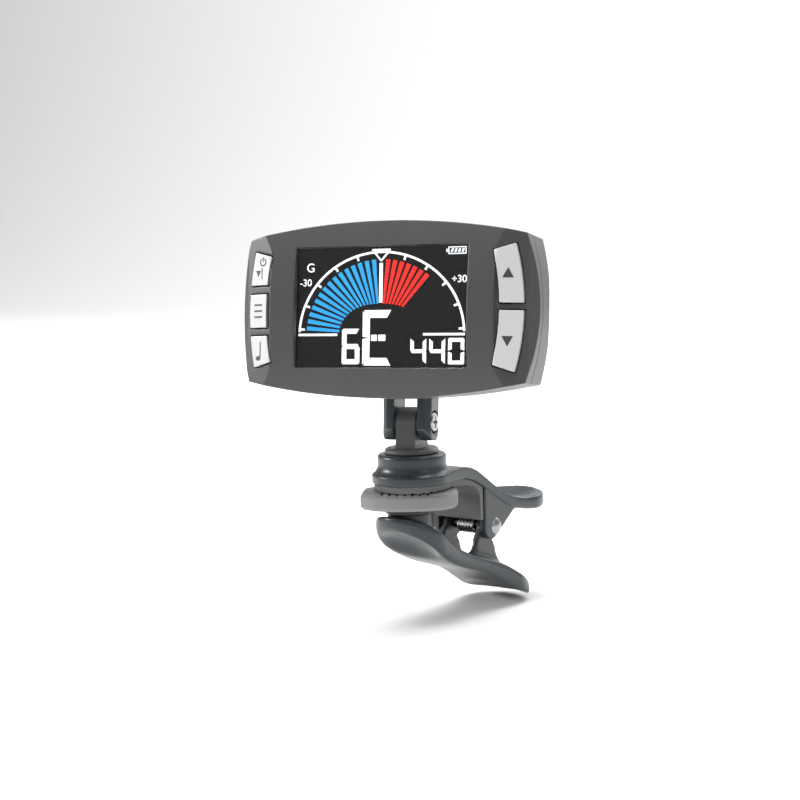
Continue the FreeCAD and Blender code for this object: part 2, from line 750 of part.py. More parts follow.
def friction_washers():
    rings = []
    for side in (-1, 1):
        x0 = side * (EAR_IN - FRICTION_T + RUN_GAP)
        x1 = side * EAR_IN
        ring = rod(POST_TOP_R - 0.2, (x0, 0, 0), (x1, 0, 0))
        rings.append(ring.cut(rod(TILT_SCREW_R + RUN_GAP, (-PAST, 0, 0), (PAST, 0, 0))))
    return Part.makeCompound(rings)


# ---------------------------------------------------------------- head, about the tilt axis
def head_outline(y, inset):
    """Four bowed sides, drawn in the plane y."""
    w = HEAD_HALF_W - inset
    h = HEAD_HALF_H - inset
    side = w + SIDE_BOW
    end = h + END_BOW
    mid = HEAD_MID
    edges = [
        arc((-w, y, mid + h), (0, y, mid + end), (w, y, mid + h)),
        arc((w, y, mid + h), (side, y, mid), (w, y, mid - h)),
        arc((w, y, mid - h), (0, y, mid - end), (-w, y, mid - h)),
        arc((-w, y, mid - h), (-side, y, mid), (-w, y, mid + h)),
    ]
    return edges


def head_prism(y0, y1, inset):
    return prism(head_outline(y0, inset), (0, y1 - y0, 0))


def wing_section(lift):
    """The head from above, in front of the parting plane; lift raises the wings but not the middle."""
    rim_x = HEAD_HALF_W + SIDE_BOW + 1
    half = [
        (PLATEAU_HALF, FRONT_Y - 2),
        (PLATEAU_HALF + 0.9, WING_IN_Y - lift),
        (WING_OUT_X, WING_OUT_Y - lift),
        (rim_x - 0.5, PARTING_Y - 1.6 - lift),
        (rim_x, PARTING_Y),
    ]
    left = [(-x, y) for x, y in reversed(half)]
    z0 = HEAD_MID - 30
    return polygon([(x, y, z0) for x, y in left + half], (0, 0, 60))


def crowned(lift):
    """A bar along X whose front is a shallow arch, highest at mid height."""
    axis_y = FRONT_Y - lift + CROWN_R
    return Part.makeCylinder(CROWN_R, 90, V(-45, axis_y, HEAD_MID), V(1, 0, 0))


def key_half(at_z):
    return KEY_BOW * ((at_z - HEAD_MID) / 13.0) ** 2


def key_outline(side, z_low, z_high, slant_low, slant_high, grow, y0, y1):
    """One button seen from the front. The slants raise the outer corners against the inner ones."""
    low_in = HEAD_MID + z_low - grow
    high_in = HEAD_MID + z_high + grow
    low_out = low_in + slant_low
    high_out = high_in + slant_high
    mid_in = (low_in + high_in) / 2
    mid_out = (low_out + high_out) / 2

    def inner(z):
        return side * (KEY_IN - grow - key_half(z))

    def outer(z):
        return side * (KEY_OUT + grow - key_half(z))

    edges = [
        arc((inner(low_in), y0, low_in), (inner(mid_in), y0, mid_in), (inner(high_in), y0, high_in)),
        line((inner(high_in), y0, high_in), (outer(high_out), y0, high_out)),
        arc((outer(high_out), y0, high_out), (outer(mid_out), y0, mid_out), (outer(low_out), y0, low_out)),
        line((outer(low_out), y0, low_out), (inner(low_in), y0, low_in)),
    ]
    return prism(edges, (0, y1 - y0, 0))


# side, lowest and highest z from mid height, slant of the low edge, slant of the high edge
KEYS = {
    "power_button": (-1, 5.8, 12.4, 0.0, 1.3),
    "menu_button": (-1, -4.1, 3.8, 0.0, 0.0),
    "tone_button": (-1, -12.1, -5.9, -1.3, 0.0),
    "up_button": (1, 1.0, 12.7, 0.0, 1.6),
    "down_button": (1, -12.7, -0.5, -1.6, 0.0),
}


def key_middle(name):
    side, z_low, z_high, slant_low, slant_high = KEYS[name]
    z = HEAD_MID + (z_low + z_high) / 2 + (slant_low + slant_high) / 4
    x = side * ((KEY_IN + KEY_OUT) / 2 - key_half(z))
    return x, z


def key_cap(name):
    side, z_low, z_high, slant_low, slant_high = KEYS[name]
    cap = key_outline(side, z_low, z_high, slant_low, slant_high, 0.0, FRONT_Y - 2, KEY_CEILING_Y + 0.2)
    cap = cap.common(wing_section(KEY_PROUD)).common(crowned(0.4))
    lip_y = KEY_CEILING_Y + 0.1
    lip = key_outline(side, z_low, z_high, slant_low, slant_high, KEY_LIP, lip_y, lip_y + KEY_LIP_T)
    lip = lip.common(head_prism(lip_y, lip_y + KEY_LIP_T, WALL + KEY_GAP))
    for x, z in case_bosses():
        lip = lip.cut(rod(CASE_BOSS_R + KEY_GAP, (x, KEY_CEILING_Y, z), (x, PARTING_Y, z)))
    x, z = key_middle(name)
    foot = BOARD_FRONT_Y - SWITCH_BODY - PLUNGER_H - KEY_TRAVEL - 0.1
    stem = rod(STEM_R, (x, lip_y + KEY_LIP_T - 0.1, z), (x, foot, z))
    return union(cap, lip, stem)


def case_bosses():
    for x in (-CASE_BOSS_X, CASE_BOSS_X):
        for z in (HEAD_MID - CASE_BOSS_Z, HEAD_MID + CASE_BOSS_Z):
            yield x, z


def front_bezel():
    body = head_prism(PARTING_Y, FRONT_Y - 1, 0.0).common(wing_section(0.0)).common(crowned(0.0))
    room = head_prism(PARTING_Y, KEY_CEILING_Y, WALL)
    x = LCD_W / 2 + LCD_ROOM
    z = LCD_H / 2 + LCD_ROOM
    ledge_back = LENS_Y + LENS_T + LEDGE_T
    room = union(room, block(-x, x, ledge_back, PARTING_Y, WINDOW_Z - z, WINDOW_Z + z))
    body = body.cut(room)
    x = WINDOW_W / 2
    z = WINDOW_H / 2
    lens_back = LENS_Y + LENS_T
    body = body.cut(block(-x, x, FRONT_Y - 2, lens_back, WINDOW_Z - z, WINDOW_Z + z))
    x = x - LEDGE
    z = z - LEDGE
    body = body.cut(block(-x, x, FRONT_Y - 2, ledge_back + 0.1, WINDOW_Z - z, WINDOW_Z + z))
    for side, z_low, z_high, slant_low, slant_high in KEYS.values():
        body = body.cut(
            key_outline(side, z_low, z_high, slant_low, slant_high, KEY_GAP, FRONT_Y - 2, PARTING_Y)
        )
    for x, z in case_bosses():
        post = rod(CASE_BOSS_R, (x, KEY_CEILING_Y - 0.3, z), (x, PARTING_Y, z))
        body = union(body, post).cut(rod(CASE_SCREW_R, (x, KEY_CEILING_Y - 0.9, z), (x, PARTING_Y, z)))
    return body


def rear_section(inset):
    """The head from above, behind the parting plane."""
    x = HEAD_HALF_W + SIDE_BOW + 1 - inset
    straight = PARTING_Y + REAR_STRAIGHT
    back = REAR_Y - inset
    half = [
        (x, PARTING_Y - 1),
        (x, straight),
        (x - REAR_SLOPE * 0.35, back - 2.2),
        (x - REAR_SLOPE, back),
    ]
    left = [(-a, b) for a, b in reversed(half)]
    return polygon([(a, b, HEAD_MID - 30) for a, b in left + half], (0, 0, 60))


def rear_profile(inset):
    """The head from the side, behind the parting plane."""
    z = HEAD_HALF_H + END_BOW + REAR_SPARE - inset
    back = REAR_Y - inset
    straight = PARTING_Y + REAR_STRAIGHT
    half = [(PARTING_Y - 1, z), (straight, z), (back - 2.0, z - REAR_SLOPE * 0.35), (back, z - REAR_SLOPE)]
    low = [(y, -dz) for y, dz in reversed(half)]
    return polygon([(-45, y, HEAD_MID + dz) for y, dz in half + low], (90, 0, 0))


def rear_shape(inset):
    shape = head_prism(PARTING_Y, REAR_Y + 1, inset)
    return shape.common(rear_section(inset)).common(rear_profile(inset))


def rear_cover():
    body = rear_shape(0.0).cut(rear_shape(WALL))
    inner = REAR_Y - WALL
    posts = []
    for x, z in case_bosses():
        posts.append(rod(CASE_BOSS_R, (x, PARTING_Y, z), (x, CASE_SEAT_Y, z)))
        posts.append(rod(CASE_HEAD_R + 1.1, (x, CASE_SEAT_Y - 1.0, z), (x, inner + 0.4, z)))
    for x in (-BOARD_POST_X, BOARD_POST_X):
        for z in (HEAD_MID - BOARD_POST_Z, HEAD_MID + BOARD_POST_Z):
            posts.append(rod(BOARD_POST_R, (x, BOARD_FRONT_Y + BOARD_T, z), (x, inner + 0.4, z)))
    body = union(body, *[post.common(rear_shape(0.3)) for post in posts])
    for x, z in case_bosses():
        body = body.cut(rod(CASE_SCREW_R + 0.15, (x, PARTING_Y, z), (x, REAR_Y + 1, z)))
        body = body.cut(rod(CASE_HEAD_R + SLIP_GAP, (x, CASE_SEAT_Y, z), (x, REAR_Y + 1, z)))
    for x in (-YOKE_SCREW_X, YOKE_SCREW_X):
        for z in YOKE_SCREW_Z:
            body = body.cut(rod(CASE_SCREW_R + 0.15, (x, inner - 1, z), (x, REAR_Y + 1, z)))
    return body.cut(usb_envelope(SLIP_GAP))


def display_window():
    x = WINDOW_W / 2 - SLIP_GAP / 2
    z = WINDOW_H / 2 - SLIP_GAP / 2
    return block(-x, x, LENS_Y, LENS_Y + LENS_T, WINDOW_Z - z, WINDOW_Z + z)


def lcd_panel():
    x = LCD_W / 2
    z = LCD_H / 2
    y0 = LENS_Y + LENS_T + LEDGE_T
    return block(-x, x, y0, y0 + LCD_T, WINDOW_Z - z, WINDOW_Z + z)


def backlight_unit():
    x = LCD_W / 2 - 0.4
    z = LCD_H / 2 - 0.4
    y0 = LENS_Y + LENS_T + LEDGE_T + LCD_T
    return block(-x, x, y0, BOARD_FRONT_Y, WINDOW_Z - z, WINDOW_Z + z)


def circuit_board():
    return block(
        -BOARD_HALF_W,
        BOARD_HALF_W,
        BOARD_FRONT_Y,
        BOARD_FRONT_Y + BOARD_T,
        HEAD_MID - BOARD_HALF_H,
        HEAD_MID + BOARD_HALF_H,
    )


def board_chips():
    y0 = BOARD_FRONT_Y + BOARD_T
    chips = []
    for x0, x1, thick, low, high in CHIPS:
        chips.append(block(x0, x1, y0, y0 + thick, HEAD_MID + low, HEAD_MID + high))
    return Part.makeCompound(chips)


def tact_switches():
    switches = []
    for name in KEYS:
        x, z = key_middle(name)
        half = SWITCH_W / 2
        y0 = BOARD_FRONT_Y - SWITCH_BODY
        base = block(x - half, x + half, y0, BOARD_FRONT_Y, z - half, z + half)
        plunger = rod(PLUNGER_R, (x, y0 + 0.2, z), (x, y0 - PLUNGER_H, z))
        switches.append(union(base, plunger))
    return Part.makeCompound(switches)


def lithium_cell():
    inner = REAR_Y - WALL
    cell = block(-CELL_W / 2, CELL_W / 2, inner - CELL_T, inner, CELL_LOW, CELL_LOW + CELL_H)
    long_edges = [e for e in cell.Edges if e.BoundBox.ZLength > 10]
    return cell.makeFillet(CELL_ROUND, long_edges)


def battery_leads():
    """Two short wires from the cell's lower edge forward to the board."""
    inner = REAR_Y - WALL
    leads = []
    y = inner - CELL_T / 2
    bend_z = CELL_LOW - LEAD_DROP
    for x in LEAD_X:
        down = rod(LEAD_R, (x, y, CELL_LOW), (x, y, bend_z))
        elbow = Part.makeSphere(LEAD_R, V(x, y, bend_z))
        across = rod(LEAD_R, (x, y, bend_z), (x, BOARD_FRONT_Y + BOARD_T, bend_z))
        leads.append(union(down, elbow, across))
    return Part.makeCompound(leads)


def usb_envelope(gap):
    """The socket's outer shape, run on through the side of the head."""
    outside = -USB_MOUTH_X - PAST
    inside = -USB_MOUTH_X + USB_DEEP + gap
    y0 = BOARD_FRONT_Y + BOARD_T - gap
    y1 = BOARD_FRONT_Y + BOARD_T + USB_T + gap
    half = USB_HALF + gap
    return block(outside, inside, y0, y1, HEAD_MID - half, HEAD_MID + half)


def usb_socket():
    """Metal shell open at the left side of the head, with its contact tongue."""
    mouth = -USB_MOUTH_X
    back = mouth + USB_DEEP - USB_BACK_T
    y0 = BOARD_FRONT_Y + BOARD_T
    y1 = y0 + USB_T
    shell = block(mouth, mouth + USB_DEEP, y0, y1, HEAD_MID - USB_HALF, HEAD_MID + USB_HALF)
    half = USB_HALF - USB_SHELL_T
    hollow = block(mouth, back, y0 + USB_SHELL_T, y1 - USB_SHELL_T, HEAD_MID - half, HEAD_MID + half)
    mid = (y0 + y1) / 2
    low = HEAD_MID - USB_TONGUE_HALF
    high = HEAD_MID + USB_TONGUE_HALF
    thin = USB_TONGUE_T / 2
    tongue = block(mouth + USB_TONGUE_SHORT, back + BITE, mid - thin, mid + thin, low, high)
    return union(shell.cut(hollow), tongue)


def piezo_sensor():
    inner = REAR_Y - WALL
    x = -PIEZO_X
    plate_y = inner - PIEZO_PLATE_T
    plate = rod(PIEZO_R, (x, inner, PIEZO_Z), (x, plate_y, PIEZO_Z))
    ceramic = rod(PIEZO_R * 0.7, (x, plate_y, PIEZO_Z), (x, plate_y - PIEZO_CERAMIC_T, PIEZO_Z))
    return union(plate, ceramic)


def case_screws():
    one = screw(CASE_HEAD_R, CASE_HEAD_H, CASE_SCREW_R, CASE_SEAT_Y - KEY_CEILING_Y)
    return Part.makeCompound([place_screw(one, (x, CASE_SEAT_Y, z), (0, -1, 0)) for x, z in case_bosses()])


def yoke_screws():
    inner = REAR_Y - WALL
    one = screw(CASE_HEAD_R, CASE_HEAD_H, CASE_SCREW_R, WALL + YOKE_SCREW_BITE)
    spots = [(x, inner, z) for x in (-YOKE_SCREW_X, YOKE_SCREW_X) for z in YOKE_SCREW_Z]
    return Part.makeCompound([place_screw(one, spot, (0, 1, 0)) for spot in spots])


# ---------------------------------------------------------------- export
CLIP_NODES = {
    "upper_arm": upper_arm,
    "upper_pad": upper_pad,
    "lower_arm": lower_arm,
    "hinge_pin": hinge_pin,
    "torsion_spring": torsion_spring,
}
FRAME_NODES = {
    "lower_pad": lower_pad,
    "pad_hub": pad_hub,
    "swivel_post": swivel_post,
    "swivel_washer": swivel_washer,
    "swivel_screw": swivel_screw,
}
HEAD_NODES = {
    "tilt_yoke": tilt_yoke,
    "tilt_screw": tilt_screw,
    "tilt_nut": tilt_nut,
    "friction_washers": friction_washers,
    "yoke_screws": yoke_screws,
    "front_bezel": front_bezel,
    "rear_cover": rear_cover,
    "display_window": display_window,
    "lcd_panel": lcd_panel,
    "backlight_unit": backlight_unit,
    "circuit_board": circuit_board,
    "board_chips": board_chips,
    "tact_switches": tact_switches,
    "lithium_cell": lithium_cell,
    "battery_leads": battery_leads,
    "usb_socket": usb_socket,
    "piezo_sensor": piezo_sensor,
    "case_screws": case_screws,
}


def export(name, shape):
    shape.exportStep("parts/" + name + ".step")
    print(name, "solids", len(shape.Solids), "volume", round(shape.Volume, 1), "valid", shape.isValid())


def main():
    os.makedirs("parts", exist_ok=True)
    for name, make in CLIP_NODES.items():
        export(name, clip_to_frame(make()))
    for name, make in FRAME_NODES.items():
        export(name, make())
    for name, make in HEAD_NODES.items():
        export(name, head_to_frame(make()))
    for name in KEYS:
        export(name, head_to_frame(key_cap(name)))


main()
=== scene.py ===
import json
import math

import bmesh
import bpy
from mathutils import Matrix, Vector
from mathutils.bvhtree import BVHTree


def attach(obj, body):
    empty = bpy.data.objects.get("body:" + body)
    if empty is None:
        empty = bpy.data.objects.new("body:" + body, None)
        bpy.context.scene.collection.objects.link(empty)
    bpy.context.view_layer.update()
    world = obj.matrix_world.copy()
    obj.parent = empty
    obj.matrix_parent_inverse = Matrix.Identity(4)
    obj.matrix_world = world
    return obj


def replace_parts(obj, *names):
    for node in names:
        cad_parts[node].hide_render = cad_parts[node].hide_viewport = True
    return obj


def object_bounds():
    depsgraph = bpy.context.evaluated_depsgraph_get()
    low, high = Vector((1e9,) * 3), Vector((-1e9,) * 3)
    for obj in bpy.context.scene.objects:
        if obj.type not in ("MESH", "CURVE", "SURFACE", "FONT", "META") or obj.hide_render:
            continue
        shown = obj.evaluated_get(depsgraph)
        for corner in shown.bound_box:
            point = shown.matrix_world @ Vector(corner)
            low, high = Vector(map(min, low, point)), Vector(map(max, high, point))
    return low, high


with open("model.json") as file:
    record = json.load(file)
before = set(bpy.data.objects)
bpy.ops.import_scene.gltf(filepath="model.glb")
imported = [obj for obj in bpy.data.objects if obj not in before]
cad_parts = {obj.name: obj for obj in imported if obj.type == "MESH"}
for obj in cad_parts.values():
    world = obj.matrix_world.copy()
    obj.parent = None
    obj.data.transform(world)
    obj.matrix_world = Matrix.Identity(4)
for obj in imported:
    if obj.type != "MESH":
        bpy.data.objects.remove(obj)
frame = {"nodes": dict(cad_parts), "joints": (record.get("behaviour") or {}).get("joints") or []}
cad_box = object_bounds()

# Clip-on tuner. Shapes are written in millimetres and scaled to metres. Head pieces are drawn upright about
# the tilt axis, clip pieces along the clip's own axis, and both are then turned into the frame.

MM = 0.001
JOINTS = {joint["name"]: joint for joint in frame["joints"]}

# ---------------------------------------------------------------- places taken from the frame
HINGE = JOINTS["jaw_hinge"]
PRESS = Vector(JOINTS["menu_button_press"]["axis"])
CLIP_TURN = math.atan2(HINGE["axis"][0], -HINGE["axis"][1])
HEAD_LEAN = math.atan2(-PRESS.z, PRESS.y)
TILT = Vector(JOINTS["head_tilt"]["pos_m"])
PIN = Vector(HINGE["pos_m"])
HEAD = Matrix.Translation(TILT) @ Matrix.Rotation(-HEAD_LEAN, 4, "X")
CLIP_AT_PIN = Matrix.Translation(PIN) @ Matrix.Rotation(CLIP_TURN, 4, "Z")

# ---------------------------------------------------------------- camera and light
CAMERA_TARGET = Vector((-2.606, 0.0, 21.233)) * MM
CAMERA_AZIMUTH = math.radians(21.511)
CAMERA_ELEVATION = math.radians(6.007)
CAMERA_ROLL = math.radians(-1.72)
CAMERA_DISTANCE = 0.36065
CAMERA_LENS = 67.93
SENSOR = 36.0


def camera():
    back = Vector(
        (
            math.sin(CAMERA_AZIMUTH) * math.cos(CAMERA_ELEVATION),
            -math.cos(CAMERA_AZIMUTH) * math.cos(CAMERA_ELEVATION),
            math.sin(CAMERA_ELEVATION),
        )
    )
    level = Vector((math.cos(CAMERA_AZIMUTH), math.sin(CAMERA_AZIMUTH), 0.0))
    upright = back.cross(level)
    right = level * math.cos(CAMERA_ROLL) + upright * math.sin(CAMERA_ROLL)
    up = upright * math.cos(CAMERA_ROLL) - level * math.sin(CAMERA_ROLL)
    data = bpy.data.cameras.new("camera")
    data.lens = CAMERA_LENS
    data.sensor_width = SENSOR
    data.clip_start = 0.01
    data.clip_end = 20.0
    obj = bpy.data.objects.new("camera", data)
    turn = Matrix((right, up, back)).transposed().to_4x4()
    obj.matrix_world = Matrix.Translation(CAMERA_TARGET + back * CAMERA_DISTANCE) @ turn
    bpy.context.collection.objects.link(obj)
    bpy.context.scene.camera = obj


def lamp(name, place, target, size, watts):
    data = bpy.data.lights.new(name, "AREA")
    data.shape = "SQUARE"
    data.size = size
    data.energy = watts
    obj = bpy.data.objects.new(name, data)
    way = Vector(target) - Vector(place)
    obj.matrix_world = Matrix.Translation(Vector(place)) @ way.to_track_quat("-Z", "Y").to_matrix().to_4x4()
    bpy.context.collection.objects.link(obj)


def studio():
    world = bpy.data.worlds.new("studio")
    bpy.context.scene.world = world
    world.use_nodes = True
    world.node_tree.nodes["Background"].inputs["Color"].default_value = (1.0, 1.0, 1.0, 1.0)
    world.node_tree.nodes["Background"].inputs["Strength"].default_value = 0.30
    bpy.context.scene.view_settings.view_transform = "Standard"
    middle = (0.0, 0.0, 0.02)
    lamp("overhead", (-0.1, -0.2, 0.8), middle, 0.35, 4.6)
    lamp("left", (-0.75, -0.22, 0.3), (0.0, 0.0, 0.04), 0.15, 4.0)
    lamp("side", (0.6, -0.25, 0.35), middle, 0.2, 0.35)
    lamp("rim", (0.3, 0.6, 0.45), middle, 0.4, 1.6)
    lamp("wall_wash", (0.0, 0.4, 1.6), (0.0, 2.4, 0.3), 1.6, 60.0)


def floor():
    """A pale floor that bends up behind the object, so that no horizon shows."""
    reach = 4.0
    bend = 1.2
    wall_start = 1.6
    steps = 24
    z = cad_box[0][2] - 0.2 * MM
    profile = [(-reach, z)]
    for i in range(steps + 1):
        turn = math.pi / 2 * i / steps
        profile.append((wall_start + bend * math.sin(turn), z + bend * (1 - math.cos(turn))))
    profile.append((wall_start + bend, z + reach))
    corners = [(x, y, height) for y, height in profile for x in (-reach, reach)]
    faces = [(2 * i, 2 * i + 1, 2 * i + 3, 2 * i + 2) for i in range(len(profile) - 1)]
    mesh = bpy.data.meshes.new("floor")
    mesh.from_pydata(corners, [], faces)
    mesh.shade_smooth()
    obj = bpy.data.objects.new("floor", mesh)
    bpy.context.collection.objects.link(obj)
    mesh.materials.append(finish("floor_pale", (0.86, 0.86, 0.86), 0.9, grain=300, bump=0.01, variation=0.01))


# ---------------------------------------------------------------- materials
BUMP_DEPTH = 0.05        # height of the fine grain at full strength
DRIFT_SCALE = 90.0       # how quickly the colour drifts over a surface
GLOSS_SPREAD = 0.06      # how far the grain moves the roughness each way
GLOSSIEST = 0.02


def finish(
    name, colour, rough, metallic=0.0, grain=2500, bump=0.15, variation=0.06, coat=0.0, stretch=(1, 1, 1)
):
    """A moulded or metal surface: fine grain in the bump and the gloss, and slow drift in the colour."""
    mat = bpy.data.materials.new(name)
    mat.use_nodes = True
    nodes = mat.node_tree.nodes
    links = mat.node_tree.links
    shader = nodes["Principled BSDF"]
    shader.inputs["Metallic"].default_value = metallic
    shader.inputs["Coat Weight"].default_value = coat
    place = nodes.new("ShaderNodeTexCoord")
    scale = nodes.new("ShaderNodeMapping")
    scale.inputs["Scale"].default_value = stretch
    links.new(place.outputs["Object"], scale.inputs["Vector"])
    fine = nodes.new("ShaderNodeTexNoise")
    fine.inputs["Scale"].default_value = grain
    fine.inputs["Detail"].default_value = 3.0
    links.new(scale.outputs["Vector"], fine.inputs["Vector"])
    bumps = nodes.new("ShaderNodeBump")
    bumps.inputs["Strength"].default_value = bump
    bumps.inputs["Distance"].default_value = BUMP_DEPTH * MM
    links.new(fine.outputs["Fac"], bumps.inputs["Height"])
    links.new(bumps.outputs["Normal"], shader.inputs["Normal"])
    slow = nodes.new("ShaderNodeTexNoise")
    slow.inputs["Scale"].default_value = DRIFT_SCALE
    slow.inputs["Detail"].default_value = 6.0
    links.new(place.outputs["Object"], slow.inputs["Vector"])
    drift = nodes.new("ShaderNodeMapRange")
    drift.inputs["To Min"].default_value = 1.0 - variation
    drift.inputs["To Max"].default_value = 1.0 + variation
    links.new(slow.outputs["Fac"], drift.inputs["Value"])
    tint = nodes.new("ShaderNodeVectorMath")
    tint.operation = "SCALE"
    tint.inputs[0].default_value = colour
    links.new(drift.outputs["Result"], tint.inputs["Scale"])
    links.new(tint.outputs["Vector"], shader.inputs["Base Color"])
    gloss = nodes.new("ShaderNodeMapRange")
    gloss.inputs["To Min"].default_value = max(rough - GLOSS_SPREAD, GLOSSIEST)
    gloss.inputs["To Max"].default_value = min(rough + GLOSS_SPREAD, 1.0)
    links.new(fine.outputs["Fac"], gloss.inputs["Value"])
    links.new(gloss.outputs["Result"], shader.inputs["Roughness"])
    return mat


def glowing(name, colour, strength):
    """A lit part of the display, faintly uneven as a backlight is."""
    mat = finish(name, colour, 0.4, bump=0.02, variation=0.03)
    shader = mat.node_tree.nodes["Principled BSDF"]
    shader.inputs["Emission Color"].default_value = (*colour, 1.0)
    shader.inputs["Emission Strength"].default_value = strength
    return mat


def clear_lens():
    mat = finish("lens_clear", (1.0, 1.0, 1.0), 0.03, grain=60, bump=0.004, variation=0.0)
    shader = mat.node_tree.nodes["Principled BSDF"]
    shader.inputs["Transmission Weight"].default_value = 1.0
    shader.inputs["IOR"].default_value = 1.49
    shader.inputs["Specular IOR Level"].default_value = 0.12
    return mat


HOUSING = finish("housing_grey", (0.058, 0.058, 0.060), 0.40, grain=3200, bump=0.3)
CLIP_GREY = finish("clip_grey", (0.028, 0.034, 0.038), 0.34, grain=2600, bump=0.16)
POST_GREY = finish("post_grey", (0.075, 0.075, 0.078), 0.4, grain=2600, bump=0.14)
RUBBER = finish("pad_rubber_grey", (0.23, 0.23, 0.23), 0.72, grain=1800, bump=0.4)
LINER = finish("liner_rubber", (0.115, 0.118, 0.12), 0.7, grain=1800, bump=0.35)
KEY_WHITE = finish("key_white", (0.62, 0.62, 0.63), 0.24, grain=1600, bump=0.05, variation=0.015, coat=0.25)
PRINT = finish("key_print", (0.05, 0.05, 0.055), 0.5, variation=0.05)
BRUSHED = (1, 1, 14)     # grain drawn out across the height
STEEL = finish("steel_satin", (0.34, 0.34, 0.35), 0.34, metallic=1.0, grain=900, bump=0.12, stretch=BRUSHED)
SPRING_STEEL = finish("spring_wire", (0.8, 0.8, 0.82), 0.18, metallic=1.0, grain=1500, bump=0.1)
# near black: the chips, switches and washers' own colour, and on the pad hub painted shade
DARK = finish("dark_plastic", (0.022, 0.022, 0.024), 0.5)
FILM = finish("display_black", (0.002, 0.002, 0.002), 0.6, bump=0.01, variation=0.1)
FILM.node_tree.nodes["Principled BSDF"].inputs["Specular IOR Level"].default_value = 0.1
PANEL = finish("panel_glass", (0.01, 0.011, 0.013), 0.1, bump=0.01)
WHITE_PLASTIC = finish("diffuser_white", (0.8, 0.8, 0.78), 0.6)
BOARD = finish("board_green", (0.012, 0.12, 0.04), 0.38, grain=1100, bump=0.5, variation=0.3)
FOIL = finish("cell_foil", (0.55, 0.55, 0.57), 0.32, metallic=0.9, grain=500, bump=0.6, variation=0.1)
LEAD = finish("lead_red", (0.45, 0.015, 0.012), 0.5)
BRASS = finish("sensor_brass", (0.6, 0.44, 0.14), 0.3, metallic=1.0, grain=800, bump=0.2)
LIT_WHITE = glowing("lit_white", (0.95, 0.97, 1.0), 0.95)
LIT_BLUE = glowing("lit_blue", (0.012, 0.33, 0.72), 0.9)
LIT_RED = glowing("lit_red", (0.85, 0.012, 0.006), 0.9)


# ---------------------------------------------------------------- mesh helpers
def add(name, mesh, material, body, *nodes, slot=None):
    obj = bpy.data.objects.new(name, mesh)
    bpy.context.collection.objects.link(obj)
    mesh.materials.clear()
    mesh.materials.append(material)
    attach(obj, body)
    if nodes:
        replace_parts(obj, *nodes)
    return obj


def welded_copy(node):
    """A closed copy of a CAD node's mesh, with the vertices that its sharp edges split joined again."""
    mesh = bpy.data.meshes.new(node + "_shape")
    bm = bmesh.new()
    bm.from_mesh(frame["nodes"][node].data)
    bmesh.ops.remove_doubles(bm, verts=bm.verts, dist=1e-7)
    bm.to_mesh(mesh)
    bm.free()
    return mesh


def evaluated(obj):
    bpy.context.view_layer.update()
    graph = bpy.context.evaluated_depsgraph_get()
    return bpy.data.meshes.new_from_object(obj.evaluated_get(graph))


def moulded(node, name, material, body, slot, voxel, passes, keep=0.5, soft=None, soft_passes=0, shrink=0.0):
    """The CAD shape as a moulded part: evenly meshed, with its edges rounded by the smoothing.

    soft gives each point, along the clip's axes in millimetres from the pin, a share of further rounding.
    """
    obj = bpy.data.objects.new(name + "_source", welded_copy(node))
    bpy.context.collection.objects.link(obj)
    remesh = obj.modifiers.new("remesh", "REMESH")
    remesh.mode = "VOXEL"
    remesh.voxel_size = voxel * MM
    smooth = obj.modifiers.new("smooth", "SMOOTH")
    smooth.factor = 0.5
    smooth.iterations = passes
    if shrink:
        inward = obj.modifiers.new("shrink", "DISPLACE")
        inward.mid_level = 0.0
        inward.strength = -shrink * MM
    mesh = evaluated(obj)
    if soft:
        mesh = softened(mesh, soft, soft_passes)
    mesh = thinned(mesh, keep)
    bpy.data.objects.remove(obj)
    mesh.shade_smooth()
    return add(name, mesh, material, body, node, slot=slot)


def thinned(mesh, keep):
    obj = bpy.data.objects.new("thinning", mesh)
    bpy.context.collection.objects.link(obj)
    thin = obj.modifiers.new("thin", "DECIMATE")
    thin.ratio = keep
    result = evaluated(obj)
    bpy.data.objects.remove(obj)
    return result


def softened(mesh, share, passes):
    """Rounds a mesh further where share(point) says so."""
    obj = bpy.data.objects.new("softening", mesh)
    bpy.context.collection.objects.link(obj)
    group = obj.vertex_groups.new(name="soft")
    back = CLIP_AT_PIN.inverted()
    for vertex in mesh.vertices:
        amount = share(back @ vertex.co / MM)
        if amount > 0.0:
            group.add([vertex.index], amount, "REPLACE")
    smooth = obj.modifiers.new("smooth", "SMOOTH")
    smooth.factor = 0.5
    smooth.iterations = passes
    smooth.vertex_group = "soft"
    result = evaluated(obj)
    bpy.data.objects.remove(obj)
    return result


# middle of the pad's boss, from the pin along the clip
BOSS_X = (CLIP_AT_PIN.inverted() @ Vector(JOINTS["pad_turn"]["pos_m"])).x / MM
RIB_REACH = 8.5          # how far the stiffening rib runs from there
BOSS_SIDE = -12.0        # nearer the pin than this, the arm is clear of the boss
ARM_FALL = 0.36          # how steeply the lower arm falls away from the cheeks


def ramp(value, start, end):
    return min(max((value - start) / (end - start), 0.0), 1.0)


def upper_handle(point):
    """The finger end of the upper arm, clear of the cheeks."""
    return ramp(point.x, 6.0, 14.0)


def yoke_foot(point):
    """The round lower ends of the yoke's ears, which stand above the pin."""
    return ramp(-point.z, -33.0, -30.0)


def lower_handle(point):
    """The lower arm's skin: all of it but the cheeks, and the boss and rib that stand under the pad."""
    if point.x > BOSS_SIDE:
        return ramp(-point.z - ARM_FALL * point.x, 5.0, 7.0)
    nearest = min(max(point.x, BOSS_X), BOSS_X + RIB_REACH)
    from_boss = math.hypot(point.x - nearest, point.y)
    return max(ramp(from_boss, 5.8, 7.2), ramp(-point.z, -0.5, 1.5))


